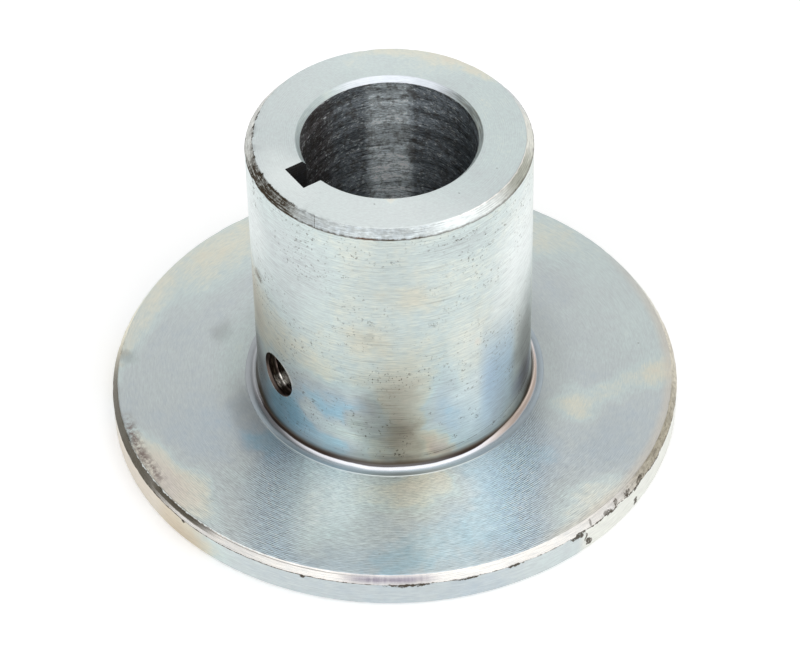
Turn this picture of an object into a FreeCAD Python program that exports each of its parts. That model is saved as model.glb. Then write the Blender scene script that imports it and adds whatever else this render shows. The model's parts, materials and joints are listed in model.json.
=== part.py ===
"""Mower blade adapter: a flanged hub turned from one piece of steel.

The part stands on the flat underside of its flange. The origin is the centre of that face, +Z runs up the
bore, and the keyway and the tapped hole that opens into it face -Y. All lengths are in millimetres.
"""

import FreeCAD, Part
import os

import Sketcher

NODE = "blade_adapter"

# Driving dimensions: alias, value, meaning
DIMENSIONS = [
    ("bore_diameter", 25.0, "crankshaft bore, through the whole part"),
    ("hub_diameter", 40.5, "outside of the hub"),
    ("flange_diameter", 84.0, "outside of the flange"),
    ("overall_height", 51.0, "underside of the flange to the end of the hub"),
    ("flange_thickness", 5.4, "underside of the flange to its upper face"),
    ("root_fillet", 1.85, "radius between the flange and the hub"),
    ("hub_chamfer_width", 1.1, "hub end, measured along the radius"),
    ("hub_chamfer_height", 1.3, "hub end, measured along the axis"),
    ("flange_chamfer_width", 0.85, "upper edge of the rim, along the radius"),
    ("flange_chamfer_height", 1.25, "upper edge of the rim, along the axis"),
    ("flange_edge_break", 0.4, "lower edge of the rim, both ways"),
    ("bore_chamfer_width", 0.65, "both ends of the bore, along the radius"),
    ("bore_chamfer_height", 0.8, "both ends of the bore, along the axis"),
    ("keyway_width", 4.76, "slot for a 3/16 inch key"),
    ("keyway_depth", 3.25, "bore wall to the flat floor of the slot"),
    ("screw_height", 15.5, "underside of the flange to the axis of the tapped hole"),
    ("screw_drill", 6.8, "tapping drill of an M8 thread"),
]

START, END = 1, 2  # a line's two ends, as a sketch numbers them
ORIGIN = (-1, START)  # a sketch's own origin
HORIZONTAL_AXIS = -1


def make_sheet(doc):
    """The spreadsheet that holds every driving dimension under its alias."""
    sheet = doc.addObject("Spreadsheet::Sheet", "dimensions")
    for row, (alias, value, meaning) in enumerate(DIMENSIONS, start=1):
        sheet.set(f"A{row}", alias)
        sheet.set(f"B{row}", str(value))
        sheet.set(f"C{row}", meaning)
        sheet.setAlias(f"B{row}", alias)
    doc.recompute()
    return sheet


def origin_plane(body, role):
    """One of the body's own origin planes, such as XY_Plane."""
    return next(plane for plane in body.Origin.OriginFeatures if plane.Role == role)


def make_sketch(body, name, role):
    """An empty sketch on one of the body's origin planes."""
    sketch = body.newObject("Sketcher::SketchObject", name)
    sketch.AttachmentSupport = [(origin_plane(body, role), "")]
    sketch.MapMode = "FlatFace"
    return sketch


def draw_outline(sketch, corners):
    """A closed outline of straight lines. Line i runs from corner i to the next one."""
    count = len(corners)
    for i, (x, y) in enumerate(corners):
        next_x, next_y = corners[(i + 1) % count]
        start = FreeCAD.Vector(x, y, 0)
        end = FreeCAD.Vector(next_x, next_y, 0)
        sketch.addGeometry(Part.LineSegment(start, end), False)
    for i in range(count):
        sketch.addConstraint(Sketcher.Constraint("Coincident", i, END, (i + 1) % count, START))


def square_up(sketch, kind, lines):
    """Holds each of these lines Horizontal or Vertical."""
    for line in lines:
        sketch.addConstraint(Sketcher.Constraint(kind, line))


def bind(sketch, name, kind, first, second, expression):
    """A named distance from one point to another, bound to the sheet. It is counted along +X or +Y."""
    here = sketch.getPoint(*first)
    there = sketch.getPoint(*second)
    now = there.x - here.x if kind == "DistanceX" else there.y - here.y
    index = sketch.addConstraint(Sketcher.Constraint(kind, *first, *second, now))
    sketch.renameConstraint(index, name)
    sketch.setExpression(f"Constraints.{name}", expression)


def turn_section(doc, body, sheet):
    """The turned blank: half of its section, revolved about the axis."""
    bore = sheet.bore_diameter / 2
    hub = sheet.hub_diameter / 2
    flange = sheet.flange_diameter / 2
    top = sheet.overall_height
    face = sheet.flange_thickness
    edge = sheet.flange_edge_break
    mouth = bore + sheet.bore_chamfer_width
    corners = [
        (mouth, 0),
        (flange - edge, 0),
        (flange, edge),
        (flange, face - sheet.flange_chamfer_height),
        (flange - sheet.flange_chamfer_width, face),
        (hub, face),
        (hub, top - sheet.hub_chamfer_height),
        (hub - sheet.hub_chamfer_width, top),
        (mouth, top),
        (bore, top - sheet.bore_chamfer_height),
        (bore, sheet.bore_chamfer_height),
    ]
    (
        underside,
        rim_break,
        rim,
        rim_chamfer,
        flange_face,
        hub_side,
        hub_chamfer,
        hub_end,
        upper_mouth,
        bore_wall,
        lower_mouth,
    ) = range(len(corners))

    sketch = make_sketch(body, "turned_section", "XZ_Plane")
    draw_outline(sketch, corners)
    square_up(sketch, "Horizontal", [underside, flange_face, hub_end])
    square_up(sketch, "Vertical", [rim, hub_side, bore_wall])
    sketch.addConstraint(Sketcher.Constraint("PointOnObject", underside, START, HORIZONTAL_AXIS))

    across = [
        ("bore_radius", ORIGIN, (bore_wall, START), "bore_diameter / 2"),
        ("hub_radius", ORIGIN, (hub_side, START), "hub_diameter / 2"),
        ("flange_radius", ORIGIN, (rim, START), "flange_diameter / 2"),
        ("rim_break_width", (rim_break, START), (rim_break, END), "flange_edge_break"),
        ("rim_chamfer_width", (rim_chamfer, END), (rim_chamfer, START), "flange_chamfer_width"),
        ("hub_chamfer_width", (hub_chamfer, END), (hub_chamfer, START), "hub_chamfer_width"),
        ("upper_mouth_width", (upper_mouth, END), (upper_mouth, START), "bore_chamfer_width"),
        ("lower_mouth_width", (lower_mouth, START), (lower_mouth, END), "bore_chamfer_width"),
    ]
    along = [
        ("face_height", ORIGIN, (flange_face, START), "flange_thickness"),
        ("hub_height", ORIGIN, (hub_end, START), "overall_height"),
        ("rim_break_height", (rim_break, START), (rim_break, END), "flange_edge_break"),
        ("rim_chamfer_height", (rim_chamfer, START), (rim_chamfer, END), "flange_chamfer_height"),
        ("hub_chamfer_height", (hub_chamfer, START), (hub_chamfer, END), "hub_chamfer_height"),
        ("upper_mouth_height", (upper_mouth, END), (upper_mouth, START), "bore_chamfer_height"),
        ("lower_mouth_height", (lower_mouth, END), (lower_mouth, START), "bore_chamfer_height"),
    ]
    for kind, distances in (("DistanceX", across), ("DistanceY", along)):
        for name, first, second, size in distances:
            bind(sketch, name, kind, first, second, f"dimensions.{size}")
    doc.recompute()

    blank = body.newObject("PartDesign::Revolution", "turned_blank")
    blank.Profile = sketch
    blank.ReferenceAxis = (sketch, ["V_Axis"])
    blank.Angle = 360
    doc.recompute()
    return blank


def round_root(doc, body, sheet, blank):
    """The fillet in the corner where the hub meets the flange."""

    def is_root(edge):
        curve = edge.Curve
        if not isinstance(curve, Part.Circle):
            return False
        at_face = abs(curve.Center.z - sheet.flange_thickness) < Part.Precision.confusion()
        return at_face and abs(curve.Radius - sheet.hub_diameter / 2) < Part.Precision.confusion()

    names = [f"Edge{i}" for i, edge in enumerate(blank.Shape.Edges, start=1) if is_root(edge)]
    fillet = body.newObject("PartDesign::Fillet", "root_fillet")
    fillet.Base = (blank, names)
    fillet.setExpression("Radius", "dimensions.root_fillet")
    doc.recompute()
    return fillet


def broach_keyway(doc, body, sheet):
    """The slot along the whole bore, on its -Y side."""
    half = sheet.keyway_width / 2
    floor = sheet.bore_diameter / 2 + sheet.keyway_depth
    sketch = make_sketch(body, "keyway_outline", "XY_Plane")
    draw_outline(sketch, [(-half, -floor), (half, -floor), (half, 0), (-half, 0)])
    floor_line, right_side, axis_line, left_side = range(4)
    square_up(sketch, "Horizontal", [floor_line, axis_line])
    square_up(sketch, "Vertical", [right_side, left_side])
    sketch.addConstraint(Sketcher.Constraint("PointOnObject", axis_line, START, HORIZONTAL_AXIS))
    bind(sketch, "width", "DistanceX", (floor_line, START), (floor_line, END), "dimensions.keyway_width")
    bind(sketch, "half_width", "DistanceX", ORIGIN, (axis_line, START), "dimensions.keyway_width / 2")
    floor_size = "dimensions.bore_diameter / 2 + dimensions.keyway_depth"
    bind(sketch, "floor_distance", "DistanceY", (floor_line, START), ORIGIN, floor_size)
    doc.recompute()

    keyway = body.newObject("PartDesign::Pocket", "keyway")
    keyway.Profile = sketch
    keyway.Type = "ThroughAll"
    keyway.Midplane = True
    doc.recompute()
    return keyway


def drill_screw_hole(doc, body, sheet):
    """The tapping-size hole from the outside of the hub through to the keyway."""
    sketch = make_sketch(body, "screw_centre", "XZ_Plane")
    sketch.setExpression("AttachmentOffset.Base.z", "dimensions.hub_diameter / 2")
    centre = FreeCAD.Vector(0, sheet.screw_height, 0)
    up = FreeCAD.Vector(0, 0, 1)
    circle = sketch.addGeometry(Part.Circle(centre, up, sheet.screw_drill / 2), False)
    centre_point = (circle, 3)
    vertical_axis = -2
    sketch.addConstraint(Sketcher.Constraint("PointOnObject", *centre_point, vertical_axis))
    bind(sketch, "height", "DistanceY", ORIGIN, centre_point, "dimensions.screw_height")
    drill = sketch.addConstraint(Sketcher.Constraint("Diameter", circle, sheet.screw_drill))
    sketch.renameConstraint(drill, "drill")
    sketch.setExpression("Constraints.drill", "dimensions.screw_drill")
    doc.recompute()

    hole = body.newObject("PartDesign::Hole", "screw_hole")
    hole.Profile = sketch
    hole.ThreadType = "None"
    hole.DepthType = "Dimension"
    hole.DrillPoint = "Flat"
    hole.HoleCutType = "None"
    hole.setExpression("Diameter", "dimensions.screw_drill")
    hole.setExpression("Depth", "dimensions.hub_diameter / 2")
    doc.recompute()
    return hole


def check(doc, body):
    """Stops unless every object computed and the body is one valid solid."""
    for item in doc.Objects:
        if "Invalid" in item.State or "Error" in item.State:
            raise RuntimeError(f"{item.Name} did not compute: {item.State}")
    shape = body.Shape
    if shape.isNull() or not shape.isValid() or len(shape.Solids) != 1:
        raise RuntimeError(f"{body.Label} is not one valid solid")


def main():
    doc = FreeCAD.newDocument("mower_blade_adapter")
    sheet = make_sheet(doc)
    body = doc.addObject("PartDesign::Body", NODE)
    body.Label = NODE
    body.Placement = FreeCAD.Placement()

    blank = turn_section(doc, body, sheet)
    fillet = round_root(doc, body, sheet, blank)
    volumes = [blank.Shape.Volume, fillet.Shape.Volume]
    for cut in (broach_keyway, drill_screw_hole):
        volumes.append(cut(doc, body, sheet).Shape.Volume)
    check(doc, body)
    if not volumes[0] < volumes[1] > volumes[2] > volumes[3]:
        raise RuntimeError(f"a feature added or removed nothing: {volumes}")

    os.makedirs("parts", exist_ok=True)
    body.Shape.exportStep(f"parts/{body.Label}.step")
    print(f"{body.Label}: {body.Shape.Volume:.1f} mm3, box {body.Shape.BoundBox}")


main()
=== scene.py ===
"""The looks of the mower blade adapter: one turned steel piece, zinc plated, worn and tarnished.

Lengths are in millimetres until a mesh or the camera is made. Angles are in degrees about the bore axis,
counted from +X towards +Y, so the keyway and the tapped hole are at -90.
"""

import json
import math
from collections import namedtuple

import bpy
import numpy as np
from mathutils import Matrix, Vector


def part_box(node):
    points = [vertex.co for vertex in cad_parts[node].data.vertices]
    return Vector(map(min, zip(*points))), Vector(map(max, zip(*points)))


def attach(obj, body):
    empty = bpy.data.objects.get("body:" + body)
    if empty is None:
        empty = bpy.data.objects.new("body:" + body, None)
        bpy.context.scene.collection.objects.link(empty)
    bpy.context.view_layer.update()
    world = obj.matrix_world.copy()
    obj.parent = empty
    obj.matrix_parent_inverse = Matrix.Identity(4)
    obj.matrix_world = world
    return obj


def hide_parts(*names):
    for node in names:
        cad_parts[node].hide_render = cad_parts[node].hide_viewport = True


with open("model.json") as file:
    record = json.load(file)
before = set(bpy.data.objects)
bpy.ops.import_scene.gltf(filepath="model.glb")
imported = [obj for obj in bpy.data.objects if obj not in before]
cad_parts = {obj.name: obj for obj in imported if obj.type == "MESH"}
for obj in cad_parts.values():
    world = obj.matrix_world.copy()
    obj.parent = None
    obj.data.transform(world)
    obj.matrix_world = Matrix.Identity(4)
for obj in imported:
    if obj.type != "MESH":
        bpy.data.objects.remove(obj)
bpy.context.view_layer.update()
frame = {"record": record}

MM = 0.001
NODE = "blade_adapter"
MOUNTS = {mount["name"]: mount for mount in frame["record"]["mounts"]}

# Sizes of the solid
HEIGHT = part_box(NODE)[1].z / MM
BORE = MOUNTS["crankshaft_bore"]["dims"]["r_mm"]
HUB = 20.25
FLANGE = 42.0
FACE = 5.4
ROOT_FILLET = 1.85
HUB_CHAMFER = (1.1, 1.3)
RIM_CHAMFER = (0.85, 1.25)
RIM_BREAK = 0.4
MOUTH_CHAMFER = (0.65, 0.8)
KEYWAY_WIDTH = 4.76
KEYWAY_FLOOR = -MOUNTS["keyway"]["pos_m"][1] / MM
SCREW_HEIGHT = MOUNTS["set_screw_hole"]["pos_m"][2] / MM
THREAD_MINOR = MOUNTS["set_screw_hole"]["dims"]["r_mm"]
THREAD_MAJOR = 4.0
THREAD_PITCH = 1.25
SCREW_MOUTH = 3.52

# Edges of the turned form, as radius and height
HUB_LOWER_EDGE = (HUB, HEIGHT - HUB_CHAMFER[1])
HUB_UPPER_EDGE = (HUB - HUB_CHAMFER[0], HEIGHT)
RIM_LOWER_EDGE = (FLANGE, FACE - RIM_CHAMFER[1])
RIM_UPPER_EDGE = (FLANGE - RIM_CHAMFER[0], FACE)

# Fine form that only the visual mesh has
EDGE_ROUNDING = 0.14
ROOT_STEP = 22.2
ROOT_STEP_RISE = 0.045
ROOT_STEP_ROUNDING = 0.05

# The mesh: its steps around the axis, the gap from an edge to the ring beside it, the further ring that
# long runs have for the nicks, and the angle from which an edge is shaded sharp
SEGMENTS = 750
SUPPORT_GAP = 0.12
NICK_REACH = 0.6
LONG_RUN = 4.0
SHARP_ANGLE = math.radians(32)

# Nicks: angle, radius, height, half width around, half width across, depth
NICKS = [
    (7.0, FLANGE, 1.6, 0.45, 1.3, 0.22),
    (5.2, *RIM_LOWER_EDGE, 0.9, 0.5, 0.25),
    (13.2, *RIM_LOWER_EDGE, 0.5, 0.6, 0.2),
    (16.3, *RIM_LOWER_EDGE, 0.6, 0.5, 0.18),
    (-10.0, *RIM_LOWER_EDGE, 0.9, 0.25, 0.12),
    (-30.0, *RIM_LOWER_EDGE, 3.2, 0.2, 0.08),
    (-102.0, *HUB_LOWER_EDGE, 0.7, 0.5, 0.15),
    (-117.0, *HUB_UPPER_EDGE, 0.8, 0.35, 0.12),
    (-128.0, *HUB_UPPER_EDGE, 1.2, 0.3, 0.12),
]
WEAR_SEED = 7
# The side that the photograph shows
FRONT = -33.0
# Where the upper edge of the hub is torn: its middle, half width and soft edge
TORN_EDGE = (-112, 34, 8)
# Middle of the flange's two faces and of the hub's end
FLANGE_MIDDLE = 30.0
END_MIDDLE = 16.5
# Feed of the tool across the flange
FLANGE_FEED = 0.31
# Direction, about the bore, across the two bands of painted reflection on the flange: the hub mirrored in the
# turning grooves, blue, with stronger woven tool marks
REFLECTION_FAN_TURN = math.radians(FRONT + 90)


def unit(vector):
    return vector / np.linalg.norm(vector)


def rounded_corner(before, corner, after, radius, steps):
    """The points of an arc that rounds a corner of the section."""
    to_before = unit(before - corner)
    to_after = unit(after - corner)
    half = math.acos(np.dot(to_before, to_after)) / 2
    centre = corner + unit(to_before + to_after) * radius / math.sin(half)
    first = corner + to_before * radius / math.tan(half) - centre
    last = corner + to_after * radius / math.tan(half) - centre
    turn = math.pi - 2 * half
    shares = np.linspace(0, 1, steps + 1)
    return [
        centre + (first * math.sin((1 - share) * turn) + last * math.sin(share * turn)) / math.sin(turn)
        for share in shares
    ]


def section():
    """The rings of the turned form, as (radius, height) points, and the surface between each and the next."""
    raised = FACE + ROOT_STEP_RISE
    mouth = BORE + MOUTH_CHAMFER[0]
    edge = EDGE_ROUNDING
    # Each corner: radius, height, rounding, arc steps, then the surface that follows it and its cells
    corners = [
        (mouth, 0, edge, 2, "underside", 2),
        (FLANGE - RIM_BREAK, 0, edge, 2, "rim", 1),
        (FLANGE, RIM_BREAK, edge, 2, "rim", 8),
        (*RIM_LOWER_EDGE, edge, 3, "rim_chamfer", 5),
        (*RIM_UPPER_EDGE, edge, 3, "flange_face", 4),
        (ROOT_STEP, FACE, ROOT_STEP_ROUNDING, 2, "root", 1),
        (ROOT_STEP - ROOT_STEP_RISE, raised, ROOT_STEP_ROUNDING, 2, "root", 1),
        (HUB, raised, ROOT_FILLET, 10, "hub_side", 6),
        (*HUB_LOWER_EDGE, edge, 3, "hub_chamfer", 5),
        (*HUB_UPPER_EDGE, edge, 3, "hub_end", 3),
        (mouth, HEIGHT, edge, 3, "bore_mouth", 2),
        (BORE, HEIGHT - MOUTH_CHAMFER[1], edge, 2, "bore", 3),
        (BORE, MOUTH_CHAMFER[1], edge, 2, "bore_mouth", 1),
    ]
    places = [np.array(corner[:2], float) for corner in corners]
    arcs = []
    for i, (_, _, radius, steps, _, _) in enumerate(corners):
        after = places[(i + 1) % len(places)]
        arcs.append(rounded_corner(places[i - 1], places[i], after, radius, steps))

    rings = []
    surfaces = []
    for i, (_, _, _, steps, surface, cells) in enumerate(corners):
        start = arcs[i][-1]
        end = arcs[(i + 1) % len(arcs)][0]
        length = np.linalg.norm(end - start)
        gap = min(SUPPORT_GAP, length / 4) / length
        first = NICK_REACH / length if length > LONG_RUN else gap
        shares = sorted({0, gap, 1 - gap, *np.linspace(first, 1 - first, cells + 1)})
        run = [start + (end - start) * share for share in shares]
        arc_surface = "root" if corners[i][2] == ROOT_FILLET else surface
        rings += arcs[i][:-1] + run
        surfaces += [arc_surface] * steps + [surface] * len(run)
    return np.array(rings), surfaces


def edge_wear():
    """Small knocks at random along the outer edges, in the form of NICKS."""
    random = np.random.default_rng(WEAR_SEED)
    counts = [(HUB_LOWER_EDGE, 40), (HUB_UPPER_EDGE, 50), (RIM_LOWER_EDGE, 90), (RIM_UPPER_EDGE, 60)]
    # The least and the most of a knock's angle, half width around, half width across and depth
    least = (0, 0.3, 0.15, 0.02)
    most = (360, 0.9, 0.35, 0.07)
    knocks = []
    for edge, count in counts:
        for _ in range(count):
            angle, around, across, depth = random.uniform(least, most)
            knocks.append((angle, *edge, around, across, depth))
    return knocks


def turned_points(rings):
    """The points of the revolved section, with each nick pressed in along the section's normal."""
    angles = np.linspace(0, 2 * math.pi, SEGMENTS, endpoint=False)[:, None]
    out = np.stack([np.cos(angles), np.sin(angles), 0 * angles], axis=-1)
    up = np.array([0.0, 0.0, 1.0])
    points = out * rings[:, :1] + up * rings[:, 1:]
    along = np.roll(rings, -1, axis=0) - np.roll(rings, 1, axis=0)
    along /= np.linalg.norm(along, axis=1, keepdims=True)
    normals = out * along[:, 1:] - up * along[:, :1]

    pressed = np.zeros(points.shape[:2])
    for angle, radius, height, around, across, depth in NICKS + edge_wear():
        turn = math.radians(angle)
        side = np.array([-math.sin(turn), math.cos(turn), 0.0])
        offset = points - (radius * math.cos(turn), radius * math.sin(turn), height)
        sideways = offset @ side
        crosswise = np.linalg.norm(offset - sideways[..., None] * side, axis=-1)
        inside = np.clip(1 - (sideways / around) ** 2 - (crosswise / across) ** 2, 0, 1)
        pressed = np.maximum(pressed, depth * np.sqrt(inside))
    return points - normals * pressed[..., None]


def turned_mesh(rings, surfaces, order):
    """The section revolved about the bore axis. Faces take the material of their surface."""
    count = len(rings)
    points = turned_points(rings)
    ring, turn = np.meshgrid(np.arange(count), np.arange(SEGMENTS))
    next_ring = (ring + 1) % count
    next_turn = (turn + 1) % SEGMENTS
    corners = [
        turn * count + ring,
        next_turn * count + ring,
        next_turn * count + next_ring,
        turn * count + next_ring,
    ]
    faces = np.stack(corners, axis=-1).reshape(-1, 4)
    mesh = bpy.data.meshes.new(NODE)
    mesh.from_pydata((points.reshape(-1, 3) * MM).tolist(), [], faces.tolist())
    indices = np.array([order.index(surface) for surface in surfaces])
    mesh.polygons.foreach_set("material_index", np.tile(indices, SEGMENTS))
    return mesh


def tube_mesh(name, rows):
    """A closed solid from rows of points, each row a ring of the same length."""
    count = len(rows[0])
    points = np.concatenate(rows) * MM
    faces = [tuple(reversed(range(count)))]
    for row in range(len(rows) - 1):
        here = row * count
        there = here + count
        for i in range(count):
            after = (i + 1) % count
            faces.append((here + i, here + after, there + after, there + i))
    faces.append(tuple((len(rows) - 1) * count + i for i in range(count)))
    mesh = bpy.data.meshes.new(name)
    mesh.from_pydata(points.tolist(), [], faces)
    return mesh


def keyway_space():
    """The space of the keyway: a bar from the bore axis to the keyway's floor."""
    half = KEYWAY_WIDTH / 2
    corners = [(-half, -KEYWAY_FLOOR), (half, -KEYWAY_FLOOR), (half, 0), (-half, 0)]
    past = 2.0
    rows = [np.array([(x, y, z) for x, y in corners]) for z in (-past, HEIGHT + past)]
    return tube_mesh("keyway_space", rows)


def thread_space():
    """The space of the tapped hole: a screw-shaped rod, shallow at the mouth, where the edge is broken."""
    around = 60
    steps_a_turn = 14
    outer_end = -HUB - 1.5
    inner_end = -BORE + 3.0
    steps = round((inner_end - outer_end) / THREAD_PITCH * steps_a_turn)
    turns = np.linspace(0, 2 * math.pi, around, endpoint=False)
    # Flats of the thread, as shares of its pitch
    crest = 0.25
    root = 0.125
    # The thread deepens from this share of its depth over this length from the mouth
    least_depth = 0.2
    run_out = 1.1
    surface = -np.sqrt(HUB**2 - (THREAD_MINOR * np.cos(turns)) ** 2)
    rows = []
    for y in np.linspace(inner_end, outer_end, steps):
        phase = (y / THREAD_PITCH + turns / (2 * math.pi)) % 1
        flank = np.clip((np.abs(2 * phase - 1) - root) / (1 - root - crest), 0, 1)
        inside = y - surface
        depth = (THREAD_MAJOR - THREAD_MINOR) * np.clip(inside / run_out, least_depth, 1)
        radius = np.maximum(THREAD_MINOR + depth * (1 - flank), SCREW_MOUTH - inside)
        x = radius * np.cos(turns)
        z = SCREW_HEIGHT + radius * np.sin(turns)
        rows.append(np.stack([x, np.full(around, y), z], axis=-1))
    return tube_mesh("thread_space", rows)


def link(name, mesh):
    piece = bpy.data.objects.new(name, mesh)
    bpy.context.scene.collection.objects.link(piece)
    return piece


def cut(piece, mesh, material):
    """Takes the space that a mesh encloses out of the piece, and lines the cut with a material."""
    mesh.materials.append(material)
    tool = link(mesh.name, mesh)
    step = piece.modifiers.new(mesh.name, "BOOLEAN")
    step.operation = "DIFFERENCE"
    step.solver = "EXACT"
    step.material_mode = "TRANSFER"
    step.object = tool
    evaluated = piece.evaluated_get(bpy.context.evaluated_depsgraph_get())
    result = bpy.data.meshes.new_from_object(evaluated)
    piece.modifiers.clear()
    piece.data = result
    bpy.data.objects.remove(tool)


class Field:
    """A number or colour over the surface: a node's output, with arithmetic that adds nodes to its tree."""

    def __init__(self, tree, socket):
        self.tree = tree
        self.socket = socket

    def math(self, operation, *others):
        node = self.tree.nodes.new("ShaderNodeMath")
        node.operation = operation
        for socket, value in zip(node.inputs, (self, *others)):
            put(value, socket)
        return Field(self.tree, node.outputs[0])

    def __add__(self, other):
        return self.math("ADD", other)

    def __sub__(self, other):
        return self.math("SUBTRACT", other)

    def __mul__(self, other):
        return self.math("MULTIPLY", other)

    def __truediv__(self, other):
        return self.math("DIVIDE", other)

    def smooth(self, low, high):
        """0 at low, 1 at high, with a soft start and end. low may be the larger."""
        node = self.tree.nodes.new("ShaderNodeMapRange")
        node.interpolation_type = "SMOOTHSTEP"
        put(self, node.inputs["Value"])
        node.inputs["From Min"].default_value = low
        node.inputs["From Max"].default_value = high
        return Field(self.tree, node.outputs["Result"])

    def band(self, middle, half):
        """1 at the middle, falling to 0 at half a width from it."""
        return (self - middle).math("ABSOLUTE").smooth(half, 0)

    def ramp(self, stops):
        """The colour for this number, from (number, colour) stops."""
        node = self.tree.nodes.new("ShaderNodeValToRGB")
        put(self, node.inputs["Fac"])
        elements = node.color_ramp.elements
        elements[0].position = stops[0][0]
        elements[1].position = stops[-1][0]
        for place, _ in stops[1:-1]:
            elements.new(place)
        for element, (_, colour) in zip(elements, stops):
            element.color = (*colour, 1)
        return Field(self.tree, node.outputs["Color"])

    def blend(self, factor, other, mode="MIX"):
        """This colour mixed with another, by the factor."""
        node = self.tree.nodes.new("ShaderNodeMix")
        node.data_type = "RGBA"
        node.blend_type = mode
        put(factor, node.inputs["Factor"])
        put(self, node.inputs[6])
        put(other, node.inputs[7])
        return Field(self.tree, node.outputs[2])

    def shade(self, level):
        """This colour times a number."""
        return self.blend(1.0, level, "MULTIPLY")


def put(value, socket):
    """Feeds a socket: a field by a link, a number or colour as the socket's own value."""
    if isinstance(value, Field):
        value.tree.links.new(value.socket, socket)
    elif isinstance(value, tuple):
        socket.default_value = (*value, 1)
    else:
        socket.default_value = value


# A stain: its middle (degrees, and mm along the radius or height), its half extents, what it adds to the
# film's thickness, how much grime it holds and how far it is rubbed clean
Stain = namedtuple("Stain", "angle along half_angle half_along film grime clean", defaults=(0.0, 0.0, 0.0))
# A tint across a sector: its middle, half width and soft edge in degrees, its strength and its colour
Tint = namedtuple("Tint", "angle half soft strength colour")
# Half the depth of a painted patch, square to the surface
PATCH_DEPTH = 4.0


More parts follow.
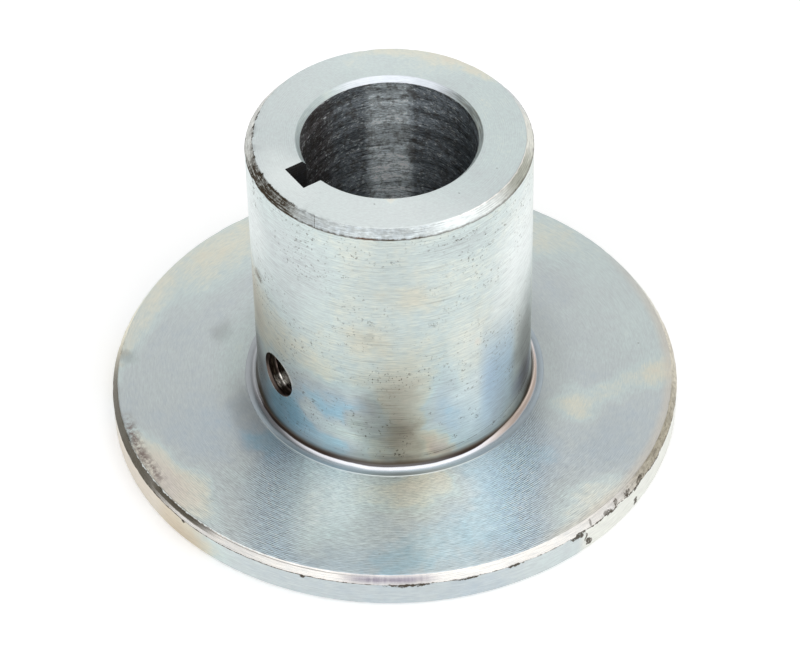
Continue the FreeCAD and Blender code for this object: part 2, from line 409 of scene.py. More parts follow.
class Surface:
    """One material, with the coordinates that a turned surface is painted by, in millimetres."""

    def __init__(self, name, along):
        self.material = bpy.data.materials.new(name)
        self.material.use_nodes = True
        self.tree = self.material.node_tree
        self.shader = self.tree.nodes["Principled BSDF"]
        coordinates = self.tree.nodes.new("ShaderNodeTexCoord")
        scale = self.vector_math("SCALE", Field(self.tree, coordinates.outputs["Object"]))
        scale.inputs["Scale"].default_value = 1 / MM
        self.place = Field(self.tree, scale.outputs[0])
        split = self.tree.nodes.new("ShaderNodeSeparateXYZ")
        put(self.place, split.inputs[0])
        self.x, self.y, self.height = (Field(self.tree, output) for output in split.outputs)
        self.radius = (self.x * self.x + self.y * self.y).math("SQRT")
        self.along = getattr(self, along)
        self.flat = along == "radius"

    def vector_math(self, operation, *values):
        node = self.tree.nodes.new("ShaderNodeVectorMath")
        node.operation = operation
        for socket, value in zip(node.inputs, values):
            if isinstance(value, Field):
                put(value, socket)
            else:
                socket.default_value = value
        return node

    def turned(self, stretch, fineness):
        """A noise coordinate for marks drawn out around the axis: stretch marks a radian, fineness a mm."""
        node = self.tree.nodes.new("ShaderNodeCombineXYZ")
        put(self.x / self.radius * stretch, node.inputs[0])
        put(self.y / self.radius * stretch, node.inputs[1])
        put(self.along * fineness, node.inputs[2])
        return Field(self.tree, node.outputs[0])

    def dashes(self, length, width, radius, detail=2.0, roughness=0.6):
        """Noise in short marks around the axis, of that length at that radius and that width."""
        return self.noise(self.turned(radius / length, 1 / width), 1.0, detail, roughness)

    def noise(self, place, scale=1.0, detail=2.0, roughness=0.5, distortion=0.0):
        node = self.tree.nodes.new("ShaderNodeTexNoise")
        put(place, node.inputs["Vector"])
        node.inputs["Scale"].default_value = scale
        node.inputs["Detail"].default_value = detail
        node.inputs["Roughness"].default_value = roughness
        node.inputs["Distortion"].default_value = distortion
        return Field(self.tree, node.outputs[0])

    def warped(self, scale, amount):
        """The place, pushed about by noise, so that what is painted there gets an uneven edge."""
        node = self.tree.nodes.new("ShaderNodeTexNoise")
        put(self.place, node.inputs["Vector"])
        node.inputs["Scale"].default_value = scale
        node.inputs["Detail"].default_value = 5.0
        push = Field(self.tree, node.outputs["Color"])
        back = Field(self.tree, self.vector_math("SUBTRACT", self.place, (amount / 2,) * 3).outputs[0])
        moved = self.vector_math("MULTIPLY_ADD", push, (amount,) * 3, back)
        return Field(self.tree, moved.outputs[0])

    def patch(self, place, angle, radius, height, size, soft=0.6):
        """1 inside an ellipsoid patch, 0 outside it. size is half its extent outwards, around and upwards."""
        node = self.tree.nodes.new("ShaderNodeMapping")
        node.vector_type = "TEXTURE"
        turn = math.radians(angle)
        put(place, node.inputs["Vector"])
        node.inputs["Location"].default_value = (radius * math.cos(turn), radius * math.sin(turn), height)
        node.inputs["Rotation"].default_value = (0, 0, turn)
        node.inputs["Scale"].default_value = size
        length = self.vector_math("LENGTH", Field(self.tree, node.outputs[0]))
        return Field(self.tree, length.outputs["Value"]).smooth(1 + soft, 1 - soft)

    def sector(self, angle, half, soft):
        """1 within half degrees of an angle, with a soft change to 0."""
        turn = math.radians(angle)
        facing = (self.x * math.cos(turn) + self.y * math.sin(turn)) / self.radius
        return facing.smooth(math.cos(math.radians(half + soft)), math.cos(math.radians(half - soft)))

    def angle_between(self, first, second):
        """0 at one angle and 1 at another, near them."""
        middle = math.radians((first + second) / 2)
        across = (self.y * math.cos(middle) - self.x * math.sin(middle)) / self.radius
        return across / (2 * math.sin(math.radians((second - first) / 2))) + 0.5

    def chips(self, radius, chips, fineness, spread=1.0, gaps=0.6):
        """1 in ragged chips about the axis, each an (angle, height, half degrees, half height).

        They are spread wider than that by a factor, and more gaps break them up.
        """
        place = self.warped(1.2, 0.9)
        grain = self.noise(self.place, fineness, 4.0, 0.75)
        total = None
        for angle, height, half_angle, half_height in chips:
            size = (PATCH_DEPTH, spread * radius * math.radians(half_angle), spread * half_height)
            patch = self.patch(place, angle, radius, height, size, 0.9)
            total = patch if total is None else total.math("MAXIMUM", patch)
        return (total * (grain * 3.2 - gaps)).smooth(0.5, 0.75)

    def stained(self, place, level, stains):
        """What the stains add up to on a surface at this level: the film, the grime and the clean share."""
        totals = [None, None, None]
        for stain in stains:
            radius = stain.along if self.flat else level
            height = level if self.flat else stain.along
            around = radius * math.radians(stain.half_angle)
            size = (stain.half_along, around, PATCH_DEPTH)
            size = size if self.flat else size[::-1]
            patch = self.patch(place, stain.angle, radius, height, size, 0.75)
            for i, share in enumerate((stain.film, stain.grime, stain.clean)):
                if share:
                    totals[i] = patch * share if totals[i] is None else totals[i] + patch * share
        return totals

    def specks(self, place, spacing, size, share):
        """1 in small specks: of the cells in a grid of that spacing, a share holds one each."""
        node = self.tree.nodes.new("ShaderNodeTexVoronoi")
        put(place, node.inputs["Vector"])
        node.inputs["Scale"].default_value = 1 / spacing
        near = Field(self.tree, node.outputs["Distance"]).smooth(size / spacing, 0.5 * size / spacing)
        return near * Field(self.tree, node.outputs["Color"]).math("GREATER_THAN", 1 - share)

    def pits(self, spacing, size, share):
        """Specks with uneven edges."""
        return self.specks(self.warped(1.5, 0.5), spacing, size, share)

    def grain(self):
        """Rough noise about a millimetre across, for torn and ragged edges."""
        return self.noise(self.place, 1.4, 4.0, 0.75)

    def tinted(self, colour, tints):
        """The colour, with each tint blended over it in turn."""
        for tint in tints:
            sector = self.sector(tint.angle, tint.half, tint.soft)
            colour = colour.blend(sector * tint.strength, tint.colour)
        return colour

    def about_hole(self):
        """How far a place lies above the tapped hole's axis, and how far from it."""
        rise = self.height - SCREW_HEIGHT
        return rise, (self.x * self.x + rise * rise).math("SQRT")

    def bump(self, relief):
        """Tilts the surface by a relief in millimetres."""
        node = self.tree.nodes.new("ShaderNodeBump")
        node.inputs["Strength"].default_value = 1.0
        node.inputs["Distance"].default_value = MM
        put(relief, node.inputs["Height"])
        self.tree.links.new(node.outputs["Normal"], self.shader.inputs["Normal"])

    def brush(self, amount):
        """Reflections spread across the turning marks, which run around the axis."""
        node = self.tree.nodes.new("ShaderNodeTangent")
        node.direction_type = "RADIAL"
        node.axis = "Z"
        self.shader.inputs["Anisotropic"].default_value = amount
        self.shader.inputs["Anisotropic Rotation"].default_value = 0.25
        self.tree.links.new(node.outputs[0], self.shader.inputs["Tangent"])


# Colours of the passivate film, from thin to thick
FILM = [
    (0.00, (0.13, 0.30, 0.38)),
    (0.12, (0.33, 0.60, 0.74)),
    (0.24, (0.47, 0.66, 0.77)),
    (0.33, (0.55, 0.62, 0.665)),
    (0.42, (0.60, 0.65, 0.655)),
    (0.52, (0.635, 0.72, 0.712)),
    (0.62, (0.75, 0.755, 0.66)),
    (0.74, (0.77, 0.70, 0.585)),
    (0.86, (0.66, 0.56, 0.51)),
    (1.00, (0.40, 0.32, 0.26)),
]
CLEAN_ZINC = (0.86, 0.91, 0.90)
# The dark that grime and painted shade blend towards
GRIME_AND_SHADE = (0.066, 0.051, 0.034)
# What full grime and painted shade add to the roughness
GRIME_AND_SHADE_ROUGHNESS = 0.2

FLANGE_STAINS_AND_REFLECTIONS = [
    Stain(-91, 39.4, 13, 3.4, film=0.34, clean=0.24),
    Stain(-140, 41, 30, 2.4, film=0.16, clean=0.10),
    Stain(-127.5, 40.2, 1.5, 1.0, grime=0.22),
    Stain(-160, 37, 14, 5, film=0.15),
    Stain(-98, 30, 12, 7, film=-0.06),
    # Painted reflection: the left fan, darker and bluer
    Stain(-85, 24, 9, 2.5, film=-0.16, grime=0.13),
    # Painted reflection: the right fan, bluer
    Stain(13, 26, 10, 5, film=-0.14, clean=0.14),
    Stain(-46, 39.8, 12, 3, film=-0.09, grime=0.05),
    Stain(-106, 23.2, 10, 1.4, grime=0.14),
    Stain(-135, 24, 22, 2.4, film=0.08),
    Stain(28, 35, 11, 6, film=-0.03, grime=0.05),
    Stain(-54, 28, 10, 8, film=0.12, clean=0.56),
    Stain(-34, 38.5, 5, 4, film=-0.09, grime=0.14),
    Stain(-27, 25.6, 14, 3.9, film=0.25, clean=0.18),
    Stain(-17, 24.8, 3, 3.2, film=0.10),
    Stain(-4, 28, 11, 9, film=-0.17, clean=0.36),
    Stain(-18, 37, 14, 5, film=-0.09, clean=0.12),
    Stain(-23, 33, 15, 7, film=-0.09, clean=0.20),
    Stain(-7, 39, 7, 3, film=-0.03, grime=0.06),
    Stain(11, 39.4, 9, 2.5, film=0.16, clean=0.28),
    Stain(39, 28.2, 6, 3.2, film=0.18),
    Stain(47, 32, 4, 2.6, film=0.14),
    Stain(52, 36, 4, 2.6, film=0.14),
    Stain(55, 40, 4, 2.6, film=0.18),
    Stain(78, 37, 16, 6, film=0.06, clean=0.12),
    Stain(112, 37, 20, 5, film=0.14),
    Stain(175, 37, 20, 5, film=0.12),
    Stain(-142, 27.2, 5, 1.6, grime=0.16),
]

HUB_STAINS_AND_PAINTED_LIGHT = [
    Stain(-88, 41, 26, 10, film=-0.10),
    # Painted highlight: the left edge bright high up
    Stain(-108, 41, 13, 10, clean=0.5),
    Stain(-100, 24, 18, 6, film=0.08, grime=0.15),
    Stain(-66, 22.5, 9, 3, film=0.08),
    Stain(-103, 31.5, 5, 0.9, film=0.1, grime=0.5),
    Stain(-115, 22, 13, 9, film=0.06, grime=0.22),
    Stain(-113, 10, 14, 6, film=-0.04, grime=0.50),
    Stain(-45, 30.3, 9, 3, film=0.08, grime=0.06),
    Stain(-45, 31, 2.4, 0.8, grime=0.16),
    Stain(-25, 38, 9, 2.4, film=0.09, grime=0.05),
    Stain(-30, 24, 10, 6, film=0.06, grime=0.09),
    Stain(-33, 14.5, 13, 8, film=0.10, grime=0.48),
    Stain(-29, 10.5, 9, 4, film=0.05, grime=0.26),
    Stain(-33, 34, 20, 15, grime=0.09),
    Stain(-33, 44, 12, 5, grime=0.06),
    Stain(-45, 17, 6, 8, grime=0.07),
    Stain(-44, 17.0, 7, 2.2, film=-0.11),
    Stain(-66, 11.4, 30, 6.7, film=-0.39),
    Stain(-102, 9, 17, 7, film=-0.24, grime=0.18),
    Stain(-72, 12.7, 6, 1.9, film=0.28, clean=0.36),
    Stain(-58, 11.4, 9, 2.0, film=0.33, clean=0.26),
    Stain(-69, 10.5, 11, 6, clean=0.26),
    Stain(-48, 14.4, 4, 1.5, film=0.22),
    Stain(-46, 9.5, 8, 3, film=0.16, grime=0.06),
    Stain(-12, 15, 6, 7, film=-0.22, clean=0.12),
    Stain(-14.5, 9.3, 5, 1.9, film=0.36, grime=0.14),
    Stain(-1, 23, 8, 8, film=0.05, clean=0.44),
    Stain(2, 15, 9, 5, film=-0.09, clean=0.50),
    Stain(3.2, 25.8, 2, 0.8, film=0.12),
    # Darker low on the right: grime, partly painted reflection at the grazing side
    Stain(38, 16.5, 11, 9, film=-0.08, grime=0.58),
    Stain(41, 9, 13, 4, grime=0.30),
    Stain(8, 12, 11, 6, film=-0.16, clean=0.48),
    # Painted highlight: these two make the right edge bright, most high up
    Stain(32, 37, 18, 11, clean=0.85),
    Stain(24, 26, 16, 9, clean=0.5),
    Stain(-5, 46.5, 12, 2.2, film=-0.06, grime=0.08),
]

# Dark marks on the hub side: angle, height, half degrees, half height
HUB_CHIPS = [
    (-102.8, 49.4, 1.8, 0.8), (-102.3, 48.4, 0.9, 1.4), (-50.0, 15.3, 0.8, 0.3), (-18.6, 15.6, 0.7, 0.3),
    (-14.4, 12.9, 0.6, 0.3), (-8.2, 9.5, 1.0, 0.35), (2.0, 11.5, 1.0, 0.5), (11.5, 8.2, 0.8, 0.4),
    (-27.0, 24.0, 0.7, 0.3), (-19.0, 20.7, 0.6, 0.3), (-42.0, 34.0, 1.4, 0.4), (-17.0, 33.0, 1.6, 0.4),
    (-6.0, 47.5, 3.0, 0.3), (1.0, 48.0, 2.0, 0.4), (6.0, 46.5, 0.6, 0.3), (9.0, 44.0, 2.0, 0.25),
    (-52.0, 42.2, 1.4, 0.3), (-73.0, 46.0, 0.5, 0.25), (-93.5, 29.6, 2.6, 0.3), (-101.0, 31.4, 2.2, 0.5),
]

END_STAINS = [
    Stain(140, 17, 30, 4, film=0.07, clean=0.12),
    Stain(-160, 16.5, 45, 6, clean=0.16),
    Stain(60, 17, 40, 4, film=0.03),
    Stain(-55, 16.5, 80, 8, clean=0.48),
    Stain(-95, 16, 16, 3, clean=0.35),
    Stain(107, 19.2, 12, 1.4, film=0.15),
    Stain(140, 19.0, 30, 1.4, film=0.10),
    Stain(-32.5, 13.6, 3.0, 1.4, film=0.30),
]

RIM_STAINS = [
    Stain(-98, 2.2, 20, 4, film=0.22, grime=0.10),
    Stain(-77, 1.6, 7, 2.0, film=0.18, grime=0.11),
    Stain(-33, 2.2, 39, 4, film=-0.06, grime=0.065),
]

# Dark chips at the rim: angle, height, half degrees, half height
RIM_CHIPS = [
    (7.4, 1.5, 0.8, 0.9), (6.6, 2.8, 0.4, 0.9), (4.6, 3.9, 2.0, 0.7), (9.5, 4.1, 2.0, 0.3),
    (14.0, 4.2, 2.0, 0.6), (21.0, 4.2, 3.0, 0.6), (30.0, 4.3, 4.0, 0.6), (22.0, 1.2, 0.8, 0.8),
    (-10.0, 4.05, 2.0, 0.4), (-20.0, 4.1, 2.5, 0.35), (-31.0, 4.05, 5.0, 0.5), (-80.0, 3.9, 0.5, 0.4),
    (-52.0, 4.05, 0.8, 0.35),
]
RIM_CHAMFER_CHIPS = [
    (8.0, 4.6, 0.5, 0.5), (12.5, 4.3, 1.5, 0.4), (15.5, 4.7, 0.7, 0.5), (19.0, 4.5, 1.0, 0.4),
    (24.0, 4.4, 1.6, 0.4),
]

HUB_CHAMFER_TINTS = [
    Tint(-135, 26, 10, 0.6, (0.74, 0.73, 0.66)),
    Tint(-94, 17, 9, 0.4, (0.58, 0.57, 0.48)),
    Tint(40, 34, 12, 0.6, (0.80, 0.77, 0.66)),
    Tint(35, 8, 7, 0.7, (0.40, 0.41, 0.34)),
    Tint(1, 15, 9, 0.75, CLEAN_ZINC),
]
RIM_CHAMFER_TINTS_AND_HIGHLIGHT = [
    # Painted highlight: paler on the side towards the camera
    Tint(FRONT, 70, 20, 0.6, (0.86, 0.80, 0.78)),
    Tint(50, 26, 12, 0.75, (0.66, 0.59, 0.46)),
    Tint(36, 10, 8, 0.65, (0.33, 0.30, 0.22)),
    Tint(-132, 12, 6, 0.7, (0.70, 0.64, 0.45)),
]
RIM_TINTS = [
    Tint(-100, 17, 6, 0.7, (0.79, 0.71, 0.62)),
    Tint(-81, 5, 4, 0.7, (0.70, 0.61, 0.47)),
    Tint(-133, 8, 5, 0.75, (0.62, 0.55, 0.36)),
]


def tool_marks(surface, radius, pitch, length):
    """Turning marks as a number about 0: feed lines, and dashes where the tool tore the metal."""
    feed = (surface.along * (2 * math.pi / pitch)).math("SINE")
    drift = surface.dashes(4 * length, 3 * pitch, radius).smooth(0.4, 0.65)
    torn = surface.dashes(length, pitch, radius, 3.0, 0.65)
    return feed * drift * 0.16 + (torn - 0.5)


def plated(name, along, level, radius, film, pitch, length, stains=()):
    """A plated and turned surface, with its colour, its tool marks and its grime.

    The tool marks have that pitch, and that length at that radius.
    """
    surface = Surface(name, along)
    place = surface.warped(0.18, 7.0)
    added, grime, clean = surface.stained(place, level, stains)
    cloud = surface.noise(surface.place, 0.09, 4.0, 0.6, 0.3)
    mottle = surface.noise(surface.place, 0.7, 4.0, 0.65)
    thickness = (cloud - 0.5) * 0.2 + film
    thickness = (mottle - 0.5) * 0.12 + thickness
    if added:
        thickness = thickness + added
    marks = tool_marks(surface, radius, pitch, length)
    thickness = marks * 0.12 + thickness
    colour = thickness.ramp(FILM)
    if clean:
        colour = colour.blend(clean, CLEAN_ZINC)
    return surface, colour, marks, grime


def finish(surface, colour, marks, grime, contrast, roughness, brush, relief):
    """Closes a surface: tool marks in its tone and relief, grime and painted shade over them, and its gloss.
    """
    colour = colour.shade(marks * contrast + 1.0)
    amount = grime.math("MINIMUM", 1.0)
    put(colour.blend(amount, GRIME_AND_SHADE), surface.shader.inputs["Base Color"])
    put(amount * GRIME_AND_SHADE_ROUGHNESS + roughness, surface.shader.inputs["Roughness"])
    surface.shader.inputs["Metallic"].default_value = 1.0
    surface.brush(brush)
    surface.bump(marks * relief)
    return surface.material


def flange_face():
    surface, colour, marks, grime = plated(
        "flange_face", "radius", FACE, FLANGE_MIDDLE, film=0.42, pitch=0.22, length=1.0, stains=FLANGE_STAINS_AND_REFLECTIONS
    )
    dirt = surface.pits(1.5, 0.24, 0.07) * 0.4 + grime
    ragged = surface.noise(surface.place, 0.9, 6.0, 0.75)
    rim_dirt = surface.sector(-100, 9, 4) * surface.radius.band(40.5, 1.6) * ragged.smooth(0.4, 0.6)
    colour = colour.blend(rim_dirt * 0.9, (0.22, 0.165, 0.15))
    border = surface.radius.smooth(39.4, 41.0) * surface.sector(40, 44, 16)
    colour = colour.blend(border * 0.55, (0.74, 0.66, 0.56))
    front = surface.sector(FRONT, 50, 20)
    sideways = surface.x * math.cos(REFLECTION_FAN_TURN) + surface.y * math.sin(REFLECTION_FAN_TURN)
    # Painted reflection: two fan-shaped bands in front of the hub, where the turning grooves mirror it,
    # tinted blue
    reflection_fans = (sideways.band(-18.0, 6.0) + sideways.band(17.8, 6.0)) * surface.sector(FRONT, 66, 12)
    reflection_fans = reflection_fans * surface.sector(-97, 16, 6).math("MULTIPLY_ADD", -1.0, 1.0)
    colour = colour.blend(reflection_fans * 0.5, (0.53, 0.67, 0.78))
    # Painted shade: the flange darker near the hub's foot, least on the side towards the camera
    foot = surface.radius.smooth(28.5, 22.5) * (front * -0.14 + 0.14)
    feed = (surface.radius * (2 * math.pi / FLANGE_FEED)).math("SINE")
    weave = feed * surface.dashes(0.7, FLANGE_FEED, FLANGE_MIDDLE).smooth(0.35, 0.65)
    # Painted reflection: the tool marks' tone is stronger on the side towards the camera, and in the fan
    # bands, where the grooves would catch the light
    marks = marks * (front * 0.6 + 0.25) + weave * (front * 0.16 + reflection_fans * 0.55)
    return finish(
        surface, colour, marks, dirt + foot, contrast=1.1, roughness=0.38, brush=0.85, relief=0.03
    )


def foot_shade(surface):
    """The hub's darkening towards its foot."""
    return surface.height.smooth(8.4, 6.4) * 0.35


def hub_side():
    surface, colour, marks, grime = plated(
        "hub_side", "height", HUB, HUB, film=0.55, pitch=0.22, length=1.8, stains=HUB_STAINS_AND_PAINTED_LIGHT
    )
    crowd = surface.noise(surface.place, 0.14, 2.0).smooth(0.42, 0.6)
    lines = surface.dashes(9.0, 0.15, HUB, 3.0).smooth(0.56, 0.7)
    speck = surface.noise(surface.place, 2.2, 2.0, 0.6).smooth(0.61, 0.67) * crowd
    ragged = surface.noise(surface.place, 1.2, 3.0)
    edge = (ragged * 0.3 + surface.height).smooth(HUB_LOWER_EDGE[1] - 0.04, HUB_LOWER_EDGE[1] + 0.12)
    scratch = (surface.angle_between(-13, 22) - surface.height).band(-7.5, 0.1) * ragged.smooth(0.3, 0.5)
    # Film tints, partly painted reflection at the grazing right side: light blue, and dark blue low down
    lavender = surface.sector(15, 9, 4) * surface.height.band(18, 13)
    colour = colour.blend(lavender * 0.8, (0.59, 0.76, 0.93))
    navy = surface.sector(36, 9, 7) * surface.height.band(11, 3.8)
    colour = colour.blend(navy * 0.65, (0.26, 0.30, 0.46))
    rise, reach = surface.about_hole()
    # Painted highlight: bright round the tapped hole's mouth, along its upper and lower edges and in ragged
    # bits between
    mouth = reach.band(SCREW_MOUTH + 0.1, 0.5) * surface.sector(-90, 16, 2)
    upper = ((surface.x * 0.8 + rise * 0.6) / reach).smooth(0.82, 0.96)
    lower = ((surface.x * -0.6 - rise * 0.8) / reach).smooth(0.9, 0.98) * ragged.smooth(0.36, 0.5)
    burr_highlight = mouth * (upper + lower + ragged.smooth(0.5, 0.62) * 0.5).math("MINIMUM", 1.0)
    colour = colour.blend(burr_highlight * 0.85, (0.95, 0.94, 0.88))
    chips = surface.chips(HUB, HUB_CHIPS, fineness=4.5, spread=1.7, gaps=1.1)
    marked = chips * 0.75 + scratch * 0.6 + edge * 0.6
    # Dirt and marks, with the painted shade towards the hub's foot
    dirt = lines * 0.22 + grime + foot_shade(surface) + speck * 0.5 + marked
    return finish(surface, colour, marks, dirt, contrast=0.6, roughness=0.36, brush=0.5, relief=0.008)


def hub_end():
    surface, colour, marks, _ = plated(
        "hub_end", "radius", HEIGHT, END_MIDDLE, film=0.465, pitch=0.3, length=0.5, stains=END_STAINS
    )
    pits = surface.pits(1.2, 0.2, 0.1)
    ragged = surface.sector(*TORN_EDGE) * (surface.grain() * 1.6 + surface.radius).smooth(19.9, 20.0)
    dirt = pits * 0.4 + ragged * 0.95
    return finish(surface, colour, marks, dirt, contrast=0.2, roughness=0.40, brush=0.3, relief=0.006)


def hub_chamfer():
    surface, colour, marks, _ = plated("hub_chamfer", "height", HUB, HUB, film=0.40, pitch=0.22, length=1.6)
    grain = surface.grain()
    scored = surface.dashes(2.2, 0.16, HUB, 3.0, 0.7)
    torn = scored * 0.6 + grain * 0.5
    left = surface.sector(-94, 15, 8) * torn.smooth(0.34, 0.63)
    right = surface.sector(40, 34, 12)
    clean = surface.sector(1, 15, 9)
    # Painted highlight along the chamfer's upper edge, on the right
    edge_highlight = surface.sector(20, 26, 9) * (grain * 0.3 + surface.height).smooth(HEIGHT - 0.1, HEIGHT)
    ragged = surface.sector(*TORN_EDGE) * (grain * 1.6 + surface.height).smooth(HEIGHT + 0.72, HEIGHT + 0.82)
    lower = (surface.height - grain * 0.3).smooth(HUB_LOWER_EDGE[1] + 0.04, HUB_LOWER_EDGE[1] - 0.1)
    colour = surface.tinted(colour, HUB_CHAMFER_TINTS).blend(edge_highlight * 0.9, (0.95, 0.93, 0.88))
    worn = torn.smooth(0.4, 0.7) * (right * -0.3 + 0.42) * (clean * -0.7 + 1.0)
    dull = surface.sector(-30, 7, 6) * 0.06
    rust = lower * surface.sector(-43, 3, 2)
    colour = colour.blend(rust * 0.8, (0.40, 0.15, 0.08))
    pits = surface.pits(1.1, 0.24, 0.16)
    scratch = (surface.angle_between(-66, -64) * HUB_CHAMFER[1] + surface.height).band(HEIGHT, 0.16)
    scratch = scratch * surface.sector(-65, 4, 1)
    dirt = left * 0.9 + ragged * 0.95 + lower * 0.55 + worn + dull + pits * 0.5 + scratch * 0.7
    return finish(surface, colour, marks, dirt, contrast=0.9, roughness=0.34, brush=0.3, relief=0.02)


def rim_chamfer():
    surface, colour, marks, _ = plated(
        "rim_chamfer", "height", FLANGE, FLANGE, film=0.57, pitch=0.2, length=2.5
    )
    grain = surface.grain()
    scored = surface.dashes(3.0, 0.16, FLANGE, 3.0, 0.7)
    torn = scored * 0.5 + grain * 0.5
    uneven = grain * 0.2 + surface.height
    burnt = surface.sector(-108, 20, 9) * uneven.band(4.85, 0.85).smooth(0.0, 0.3)
    burnt = burnt.math("MAXIMUM", surface.sector(-84, 9, 5) * uneven.band(5.05, 0.5).smooth(0.0, 0.4))
    bright = surface.sector(-80, 20, 6) * (grain * 0.8 + surface.height).smooth(5.62, 5.7)
    right = surface.sector(46, 28, 14) * torn.smooth(0.4, 0.62)
    lower = (grain * 0.7 - surface.height).smooth(-3.88, -3.74)
    groove = (grain * 0.1 + surface.height).band(5.14, 0.09) * surface.sector(-64, 20, 8)
    foot = surface.height.smooth(4.26, 4.18) * surface.sector(-66, 24, 8)
    colour = surface.tinted(colour, RIM_CHAMFER_TINTS_AND_HIGHLIGHT)
    streaks = surface.noise(surface.turned(FLANGE / 0.7, 0.2), 1.0, 4.0, 0.7)
    purple = surface.sector(-35, 6.5, 5) * surface.height.band(4.75, 0.9) * (streaks * 0.8 + 0.5)
    colour = colour.blend(purple, (0.27, 0.25, 0.30))
    colour = colour.blend(burnt * 0.95, (0.085, 0.074, 0.052)).blend(bright, CLEAN_ZINC)
    chips = surface.chips(FLANGE, RIM_CHAMFER_CHIPS, fineness=1.8)
    dirt = torn.smooth(0.4, 0.7) * burnt * 0.4 + right * 0.5 + lower * 0.9
    dirt = dirt + groove * 0.7 + chips * 0.6 + foot * 0.5
    return finish(surface, colour, marks, dirt, contrast=0.5, roughness=0.26, brush=0.3, relief=0.008)


def rim():
    surface, colour, marks, grime = plated(
        "rim", "height", FLANGE, FLANGE, film=0.43, pitch=0.3, length=2.0, stains=RIM_STAINS
    )
    edge = (surface.grain() * 0.7 + surface.height).smooth(4.42, 4.56)
    pale = surface.sector(62, 56.5, 1.5) * surface.sector(30, 70, 24)
    colour = colour.blend(pale * 0.6, (0.88, 0.86, 0.78))
    colour = surface.tinted(colour, RIM_TINTS)
    pits = surface.pits(1.3, 0.24, 0.1)
    dirt = edge * 0.85 + grime + pits * 0.5 + surface.chips(FLANGE, RIM_CHIPS, fineness=1.8) * 0.9
    return finish(surface, colour, marks, dirt, contrast=0.4, roughness=0.38, brush=0.3, relief=0.006)


def root():
    """The fillet at the hub's foot: burnt dark at its top, then brighter metal that is partly a painted
    highlight, then grey out to a bright painted highlight at the step's edge.
    """
    foot_stains = [stain for stain in HUB_STAINS_AND_PAINTED_LIGHT if stain.along - stain.half_along < 8]
    surface, colour, marks, grime = plated(
        "root", "height", HUB, HUB, film=0.55, pitch=0.4, length=4.0, stains=foot_stains
    )
    right = surface.sector(38, 26, 14)
    uneven = surface.noise(surface.place, 0.3, 3.0) * 0.16 - 0.08
    height = uneven + surface.height
    # Brighter metal below the burnt band, partly a painted highlight
    below = height.smooth(6.3, 6.1)
    colour = colour.blend(below, (0.71, 0.72, 0.76))
    copper = right * height.smooth(5.6, 5.8) * height.smooth(6.7, 6.4)
    colour = colour.blend(copper * 0.75, (0.62, 0.47, 0.37))
    colour = colour.blend(height.smooth(5.72, 5.6), (0.40, 0.46, 0.50))
    # Painted highlight: the step's edge as a bright thin ring, on the side towards the camera
    line = surface.radius.smooth(22.03, 22.08) * surface.sector(-45, 48, 14)
    colour = colour.blend(line * 0.7, CLEAN_ZINC)
    plain = surface.sector(-130, 20, 10)
    colour = colour.blend(plain * 0.8, (0.52, 0.54, 0.56))
    burnt = (height - right * 0.4).smooth(5.88, 5.98) * height.smooth(7.0, 6.15) * (plain * -0.8 + 1.0)
    burnt = burnt * (surface.sector(-34, 17, 13) * -0.15 + 1.0)
    colour = colour.blend(burnt, (0.020, 0.012, 0.013))
    dull = height.smooth(5.7, 5.45) + height.smooth(6.3, 7.0) + plain
    dirt = (grime + foot_shade(surface)) * height.smooth(6.1, 6.3) + burnt * 0.3
    roughness = dull * 0.2 + 0.16
    return finish(surface, colour, marks, dirt, contrast=0.3, roughness=roughness, brush=0.2, relief=0.003)


def underside():
    surface, colour, marks, _ = plated(
        "underside", "radius", 0.0, FLANGE_MIDDLE, film=0.46, pitch=0.36, length=1.2
    )
    dirt = surface.noise(surface.place, 0.5, 5.0, 0.7).smooth(0.55, 0.75) * 0.3
    return finish(surface, colour, marks, dirt, contrast=0.6, roughness=0.38, brush=0.6, relief=0.012)


def bore_mouth():
    surface, colour, marks, _ = plated("bore_mouth", "height", BORE, BORE, film=0.52, pitch=0.2, length=1.2)
    nicks = surface.pits(1.2, 0.25, 0.1)
    # Painted highlight: paler on the mouth's far side, which faces the camera
    colour = colour.blend(surface.sector(140, 36, 14) * 0.6, (0.86, 0.88, 0.97))
    dark = surface.sector(78, 24, 14) * surface.dashes(3.0, 0.2, BORE).smooth(0.3, 0.6)
    dirt = nicks * 0.5 + dark * 0.5
    return finish(surface, colour, marks, dirt, contrast=0.4, roughness=0.5, brush=0.3, relief=0.006)


def bare(name, along, radius, colour, pitch, length):
    """Steel that the plating hardly reached, with its tool marks."""
    surface = Surface(name, along)
    stain = surface.noise(surface.place, 0.16, 4.0)
    paint = stain.smooth(0.3, 0.7).ramp([(0.0, colour), (1.0, tuple(0.7 * part for part in colour))])
    return surface, paint, tool_marks(surface, radius, pitch, length)


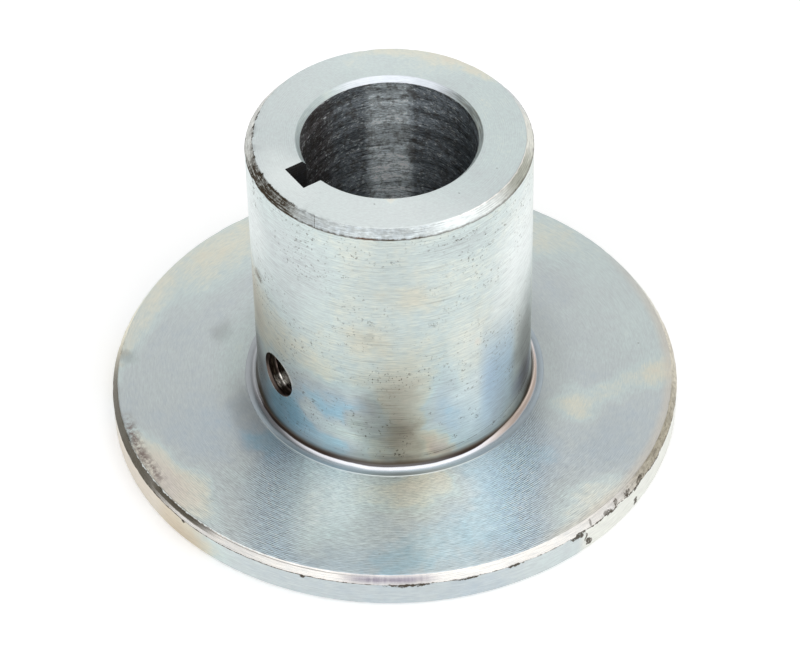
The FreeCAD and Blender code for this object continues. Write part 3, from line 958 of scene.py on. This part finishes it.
def bore():
    surface, colour, marks = bare("bore", "height", BORE, (0.25, 0.28, 0.305), pitch=0.2, length=0.6)
    colour = colour.blend(surface.sector(95, 28, 20) * 0.4, (0.27, 0.31, 0.35))
    # Painted highlight: a bright stripe down the bore's far wall, which faces the camera, brighter lower down
    highlight_column = surface.sector(147, 5, 13) * (surface.height.smooth(50, 34) * 0.5 + 0.5)
    colour = colour.blend(highlight_column, (0.85, 0.93, 0.96))
    left = surface.sector(-142, 26, 12)
    colour = colour.blend(left * 0.5, (0.16, 0.11, 0.095))
    glint = surface.dashes(0.7, 0.35, BORE, 3.0, 0.75).smooth(0.57, 0.63)
    colour = colour.blend(glint * (left * 0.25 + 0.65), CLEAN_ZINC)
    scored = surface.dashes(2.4, 0.3, BORE, 3.0, 0.7).smooth(0.36, 0.5)
    colour = colour.shade(scored * 0.6 + 0.45)
    rings = surface.dashes(14.0, 1.5, BORE, 2.0).smooth(0.36, 0.64)
    colour = colour.shade(rings * 0.7 + 0.65)
    colour = colour.blend(surface.specks(surface.place, 2.5, 0.2, 0.02), CLEAN_ZINC)
    dirt = surface.noise(surface.place, 0.8, 4.0, 0.7).smooth(0.46, 0.62) * 0.5
    return finish(surface, colour, marks, dirt, contrast=2.6, roughness=0.5, brush=0.92, relief=0.02)


def keyway():
    surface, colour, marks = bare("keyway", "height", BORE, (0.16, 0.16, 0.17), pitch=0.4, length=2.0)
    dirt = surface.noise(surface.place, 0.9, 4.0, 0.7).smooth(0.42, 0.58) * 0.5
    return finish(surface, colour, marks, dirt, contrast=1.0, roughness=0.5, brush=0.0, relief=0.01)


def thread():
    """The tapped hole: dark and brown, with painted highlights on the crests of its lower wall and painted
    shade in its grooves.
    """
    surface, colour, marks = bare("thread", "y", THREAD_MAJOR, (0.13, 0.10, 0.085), pitch=0.4, length=1.0)
    rise, reach = surface.about_hole()
    # Painted highlight: bright patches on the lower wall, where the crests catch the light
    highlight_wall = ((surface.x * -0.44 - rise * 0.90) / reach).smooth(0.94, 0.99)
    highlight_wall = highlight_wall * surface.y.smooth(0.5 - HUB, 1.2 - HUB)
    rough = surface.noise(surface.place, 1.6, 3.0, 0.7)
    colour = colour.blend(highlight_wall * rough.smooth(0.36, 0.5), (0.92, 0.88, 0.81))
    # Painted shade: darker in the thread's grooves, less so on the lit lower wall
    groove = reach.smooth(THREAD_MINOR + 0.15, THREAD_MINOR + 0.35)
    dirt = groove * (highlight_wall * -0.5 + 0.9)
    return finish(surface, colour, marks, dirt, contrast=0.8, roughness=0.3, brush=0.0, relief=0.006)


def build_adapter():
    turned = [
        flange_face, hub_side, hub_end, hub_chamfer, rim_chamfer, rim, root, underside, bore_mouth, bore,
    ]
    order = [make.__name__ for make in turned]
    rings, surfaces = section()
    piece = link("adapter_body", turned_mesh(rings, surfaces, order))
    for make in turned:
        piece.data.materials.append(make())
    cut(piece, keyway_space(), keyway())
    cut(piece, thread_space(), thread())
    mesh = piece.data
    mesh.polygons.foreach_set("use_smooth", np.ones(len(mesh.polygons), bool))
    mesh.set_sharp_from_angle(angle=SHARP_ANGLE)
    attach(piece, "root")
    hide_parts(NODE)


# Half the floor's width in metres, and the share of its white that is its own glow
FLOOR_HALF = 2.0
FLOOR_GLOW = 0.2


def build_floor():
    """A plain pale floor. What the camera and the metal see of it is white, with the part's shadow on it."""
    mesh = bpy.data.meshes.new("floor")
    signs = [(-1, -1), (1, -1), (1, 1), (-1, 1)]
    corners = [(x * FLOOR_HALF, y * FLOOR_HALF, 0) for x, y in signs]
    mesh.from_pydata(corners, [], [(0, 1, 2, 3)])
    floor = link("floor", mesh)
    material = bpy.data.materials.new("floor")
    material.use_nodes = True
    tree = material.node_tree
    shader = tree.nodes["Principled BSDF"]
    shader.inputs["Base Color"].default_value = (0.93, 0.93, 0.93, 1)
    shader.inputs["Roughness"].default_value = 0.9
    shader.inputs["Emission Color"].default_value = (1, 1, 1, 1)
    path = tree.nodes.new("ShaderNodeLightPath")
    camera, glossy, through = (
        Field(tree, path.outputs[name]) for name in ("Is Camera Ray", "Is Glossy Ray", "Is Transmission Ray")
    )
    seen = camera.math("MAXIMUM", glossy).math("MAXIMUM", through)
    put(seen * FLOOR_GLOW, shader.inputs["Emission Strength"])
    mesh.materials.append(material)


def view_direction(azimuth, elevation):
    """From the part towards a viewer: azimuth 0 stands at -Y."""
    turn = math.radians(azimuth)
    rise = math.radians(elevation)
    return Vector((math.sin(turn) * math.cos(rise), -math.cos(turn) * math.cos(rise), math.sin(rise)))


# The photograph's viewpoint, fitted to the edges of the part
AZIMUTH = 57.0
ELEVATION = 42.958
DISTANCE = 484.5
FOCAL_PIXELS = 3346.67
IMAGE_WIDTH = 800
SENSOR = 36.0
PAN = -0.112
TILT = -0.944
ROLL = 1.309


def build_camera():
    back = view_direction(AZIMUTH, ELEVATION)
    right = Vector((0, 0, 1)).cross(back).normalized()
    up = back.cross(right)
    basis = Matrix((right, up, back)).transposed()
    for angle, axis in ((PAN, 1), (TILT, 0), (-ROLL, 2)):
        basis = Matrix.Rotation(math.radians(angle), 3, basis.col[axis]) @ basis
    data = bpy.data.cameras.new("photo_view")
    data.sensor_width = SENSOR
    data.lens = FOCAL_PIXELS * SENSOR / IMAGE_WIDTH
    camera = link("photo_view", data)
    camera.matrix_world = basis.to_4x4()
    camera.location = back * DISTANCE * MM + Vector((0, 0, HEIGHT / 2 * MM))
    bpy.context.scene.camera = camera


# The studio's light by height, the sine of the elevation, and by how far to the side it comes from. It is
# white at the horizon, so the floor has no edge in a low view.
LIGHT_BY_HEIGHT = [(0.0, 1.0), (0.1, 1.0), (0.16, 0.8), (0.2, 0.8), (0.45, 1.0), (1.0, 1.0)]
LIGHT_BY_SIDE = [
    (-1.0, 0.15), (-0.7, 0.15), (-0.42, 0.3), (-0.2, 1.0), (0.2, 1.0), (0.42, 0.65), (0.7, 0.6), (1.0, 0.65),
]
# The sides are dim from these heights up, and from these cosines on towards the far side
SIDES_DIM_ABOVE = (0.12, 0.4)
SIDES_DIM_BEHIND = (-0.25, 0.2)
# The window of light behind the camera: its turn to the right and its elevation, the cosines of its soft
# edge, and what it adds
WINDOW_TURN = 12.0
WINDOW_ELEVATION = 35.0
WINDOW_EDGE = (0.3, 0.85)
WINDOW_LIGHT = 0.4


def grey_stops(stops):
    return [(place, (light, light, light)) for place, light in stops]


def along_direction(tree, direction, way):
    """The cosine between the direction that light comes from and a fixed way."""
    node = tree.nodes.new("ShaderNodeVectorMath")
    node.operation = "DOT_PRODUCT"
    tree.links.new(direction, node.inputs[0])
    node.inputs[1].default_value = way
    return Field(tree, node.outputs["Value"])


def build_light():
    """A tent of soft light: bright above and behind the camera, dimmer high at the sides."""
    world = bpy.data.worlds.new("studio")
    bpy.context.scene.world = world
    world.use_nodes = True
    tree = world.node_tree
    direction = tree.nodes.new("ShaderNodeTexCoord").outputs["Generated"]
    rise = along_direction(tree, direction, (0, 0, 1))
    sideways = along_direction(tree, direction, view_direction(AZIMUTH + 90, 0))
    to_window = view_direction(AZIMUTH + WINDOW_TURN, WINDOW_ELEVATION)
    window = along_direction(tree, direction, to_window).smooth(*WINDOW_EDGE)
    by_height = rise.ramp(grey_stops(LIGHT_BY_HEIGHT))
    side_stops = [(0.5 + side / 2, light) for side, light in LIGHT_BY_SIDE]
    by_side = (sideways * 0.5 + 0.5).ramp(grey_stops(side_stops))
    behind = along_direction(tree, direction, view_direction(AZIMUTH + 180, 0)).smooth(*SIDES_DIM_BEHIND)
    tent = by_height.blend(rise.smooth(*SIDES_DIM_ABOVE) * behind, by_side, "MULTIPLY")
    put(tent.blend(1.0, window * WINDOW_LIGHT, "ADD"), tree.nodes["Background"].inputs["Color"])
    bpy.context.scene.view_settings.view_transform = "Standard"


build_adapter()
build_floor()
build_light()
build_camera()
